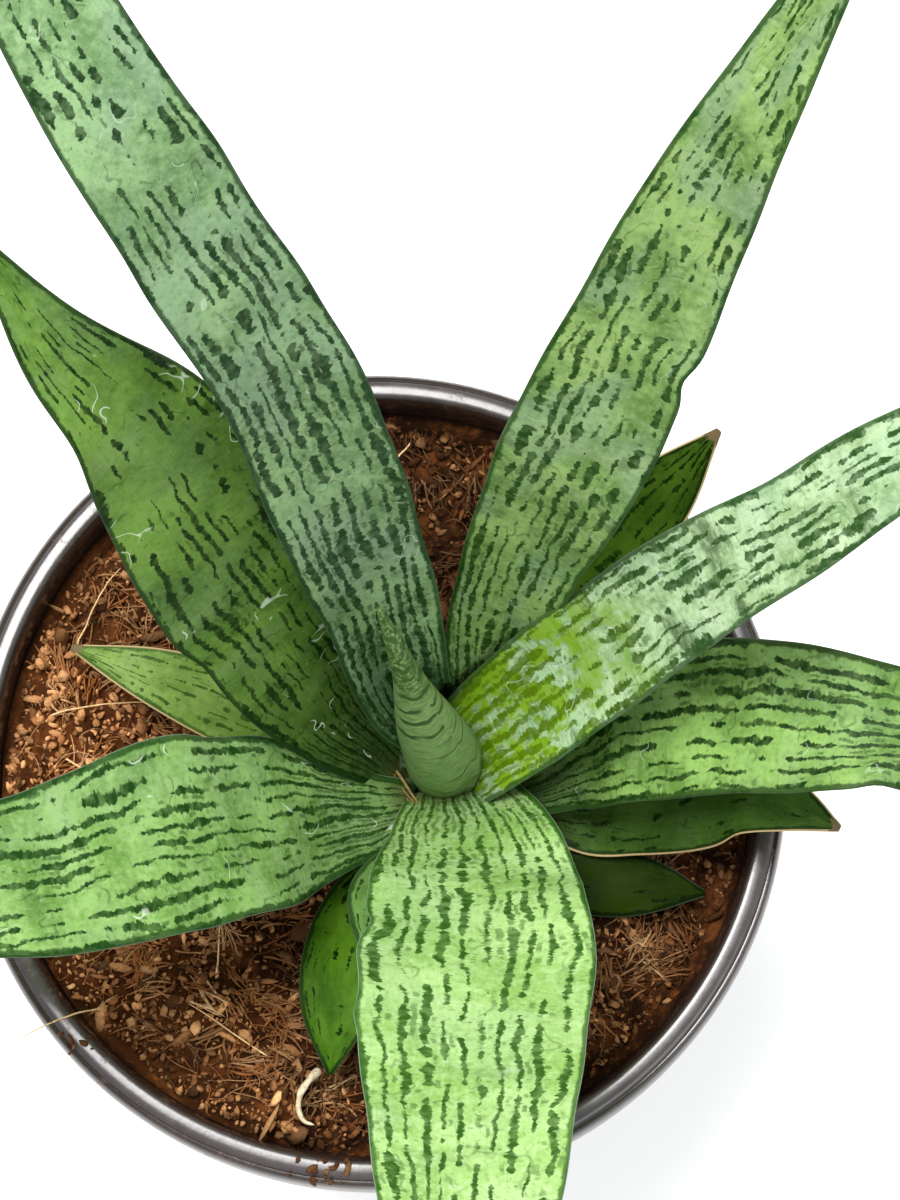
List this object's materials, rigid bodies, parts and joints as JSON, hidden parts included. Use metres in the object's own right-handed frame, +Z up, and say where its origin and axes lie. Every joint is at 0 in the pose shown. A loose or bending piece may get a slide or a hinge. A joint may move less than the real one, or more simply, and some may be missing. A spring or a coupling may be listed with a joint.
{
  "type": "potted snake plant",
  "caption": "Low snake plant with a rosette of broad, mottled green leaves growing from coir in a round, tapered plastic nursery pot with a rolled rim.",
  "frame": {"origin": "centre of the pot's underside, on the surface that the pot stands on", "axes": "+Z up along the pot's axis, +X to the plant's right and -Y to its front, where the broadest leaf arches out; the two tallest leaves lean back towards +Y"},
  "size_m": [0.1824, 0.1732, 0.2383],
  "materials": {
    "pot_plastic": "dark brown-black injection-moulded plastic, semi-gloss",
    "coir": "loose reddish-brown coconut fibre and chips, matt",
    "crown_skin": "dry tan sheath on a short plant crown, matt",
    "root_skin": "pale bare root tip, satin",
    "leaf_grey_green": "waxy grey-green leaf skin with dark green dashes, satin",
    "leaf_mid_green": "waxy mid green leaf skin with dark green dashes, satin",
    "leaf_lime_green": "waxy lime green leaf skin with dark green dashes, satin",
    "leaf_pale_green": "waxy pale green leaf skin with dark green dashes, satin",
    "leaf_deep_green": "waxy deep green leaf skin, satin"
  },
  "bodies": {
    "root": {"nursery_pot": "pot_plastic", "potting_coir": "coir", "crown": "crown_skin", "root_sprout": "root_skin", "central_spear": "leaf_grey_green", "leaf_back_left_tall": "leaf_grey_green", "leaf_back_right_tall": "leaf_lime_green", "leaf_right_upper": "leaf_pale_green", "leaf_right_lower": "leaf_lime_green", "leaf_front_broad": "leaf_lime_green", "leaf_left_lower": "leaf_lime_green", "leaf_left_middle": "leaf_mid_green", "leaf_left_small": "leaf_mid_green", "leaf_back_right_small": "leaf_mid_green", "leaf_right_shaded": "leaf_deep_green", "leaf_front_right_small": "leaf_deep_green", "leaf_front_left_small": "leaf_mid_green", "leaf_front_left_tucked": "leaf_mid_green"}
  },
  "joints": []
}
